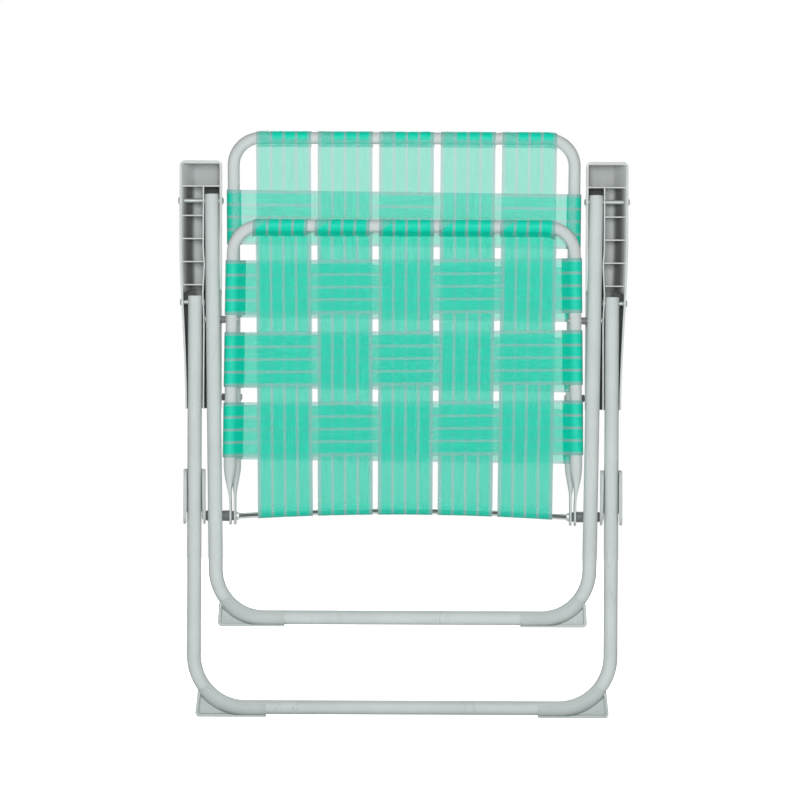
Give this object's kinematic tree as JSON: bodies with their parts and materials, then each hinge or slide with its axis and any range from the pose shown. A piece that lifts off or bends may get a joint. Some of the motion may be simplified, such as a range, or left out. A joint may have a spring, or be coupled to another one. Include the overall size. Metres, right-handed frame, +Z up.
{
  "type": "folding webbed lawn chair",
  "caption": "Folding lawn chair with bent-tube leg, seat and back frames, moulded armrests and a translucent woven web seat and back, shown folded flat.",
  "frame": {"origin": "on the floor under the middle of the folded chair's box", "axes": "+X to the viewer's right and along every pivot axis, +Y away from the viewer of the folded chair, +Z up"},
  "size_m": [0.602, 0.071, 0.7814],
  "materials": {
    "tube": "light silver-grey paint, satin",
    "arm": "grey moulded plastic, satin",
    "foot": "grey moulded plastic, satin",
    "saddle": "grey painted pressed steel",
    "steel": "plated steel",
    "web": "translucent sea-green vinyl webbing with pale stripes"
  },
  "bodies": {
    "pivot_pins": {"rear_leg_pin_left": "steel", "rear_leg_pin_right": "steel"},
    "arm_left": {"arm_left": "arm", "front_leg_pin_left": "steel"},
    "arm_right": {"arm_right": "arm", "front_leg_pin_right": "steel"},
    "rear_leg": {"rear_leg_frame": "tube", "rear_foot_left": "foot", "rear_foot_right": "foot"},
    "back": {"back_frame": "tube", "back_long_web_1": "web", "back_long_web_2": "web", "back_long_web_3": "web", "back_long_web_4": "web", "back_long_web_5": "web", "back_cross_web_1": "web", "back_cross_web_2": "web", "back_cross_web_3": "web", "back_cross_web_4": "web", "hinge_rod": "steel", "rod_sleeve_left": "steel", "rod_sleeve_right": "steel", "rod_washer_left": "steel", "rod_washer_right": "steel", "blade_spacer_left": "steel", "blade_spacer_right": "steel", "rod_nut_left": "steel", "rod_nut_right": "steel", "rod_cap_left": "steel", "rod_cap_right": "steel", "back_rivet_left": "steel", "back_rivet_right": "steel", "back_spacer_left": "steel", "back_spacer_right": "steel"},
    "seat": {"seat_frame": "tube", "seat_long_web_1": "web", "seat_long_web_2": "web", "seat_long_web_3": "web", "seat_long_web_4": "web", "seat_long_web_5": "web", "seat_cross_web_1": "web", "seat_cross_web_2": "web", "seat_cross_web_3": "web"},
    "front_leg": {"front_leg_frame": "tube", "front_foot_left": "foot", "front_foot_right": "foot", "seat_rivet_left": "steel", "seat_rivet_right": "steel", "seat_spacer_left": "steel", "seat_spacer_right": "steel"},
    "saddle_left": {"saddle_left": "saddle"},
    "saddle_right": {"saddle_right": "saddle"}
  },
  "joints": [
    {"name": "arm_left_fold", "type": "hinge", "parent": "pivot_pins", "child": "arm_left", "pos_m": [0, 0.0146, 0.5525], "axis": [1, 0, 0], "range_deg": [0, 81.82]},
    {"name": "arm_right_fold", "type": "hinge", "parent": "pivot_pins", "child": "arm_right", "pos_m": [0, 0.0146, 0.5525], "axis": [1, 0, 0], "range_deg": [0, 81.92]},
    {"name": "rear_leg_fold", "type": "hinge", "parent": "pivot_pins", "child": "rear_leg", "pos_m": [0, 0.0146, 0.5525], "axis": [1, 0, 0], "range_deg": [0, 23.65]},
    {"name": "back_fold", "type": "hinge", "parent": "arm_left", "child": "back", "pos_m": [0, 0.0256, 0.426], "axis": [1, 0, 0], "range_deg": [-100.1, 0]},
    {"name": "seat_fold", "type": "hinge", "parent": "back", "child": "seat", "pos_m": [0, 0.0146, 0.268], "axis": [1, 0, 0], "range_deg": [0, 100.1]},
    {"name": "front_leg_fold", "type": "hinge", "parent": "seat", "child": "front_leg", "pos_m": [0, 0.00361, 0.5295], "axis": [1, 0, 0], "range_deg": [-100.1, 0]},
    {"name": "saddle_left_turn", "type": "hinge", "parent": "back", "child": "saddle_left", "pos_m": [0, 0.0146, 0.268], "axis": [1, 0, 0], "range_deg": [0, 41.8]},
    {"name": "saddle_right_turn", "type": "hinge", "parent": "back", "child": "saddle_right", "pos_m": [0, 0.0146, 0.268], "axis": [1, 0, 0], "range_deg": [0, 41.8]}
  ],
  "couplings": [
    {"joint": "arm_right_fold", "follows": "arm_left_fold", "ratio": 1},
    {"joint": "rear_leg_fold", "follows": "arm_left_fold", "ratio": 0.28784},
    {"joint": "back_fold", "follows": "arm_left_fold", "ratio": -1.2222},
    {"joint": "seat_fold", "follows": "arm_left_fold", "ratio": 1.2222},
    {"joint": "front_leg_fold", "follows": "arm_left_fold", "ratio": -1.2222},
    {"joint": "saddle_left_turn", "follows": "arm_left_fold", "ratio": 0.51002},
    {"joint": "saddle_right_turn", "follows": "arm_left_fold", "ratio": 0.51002}
  ]
}
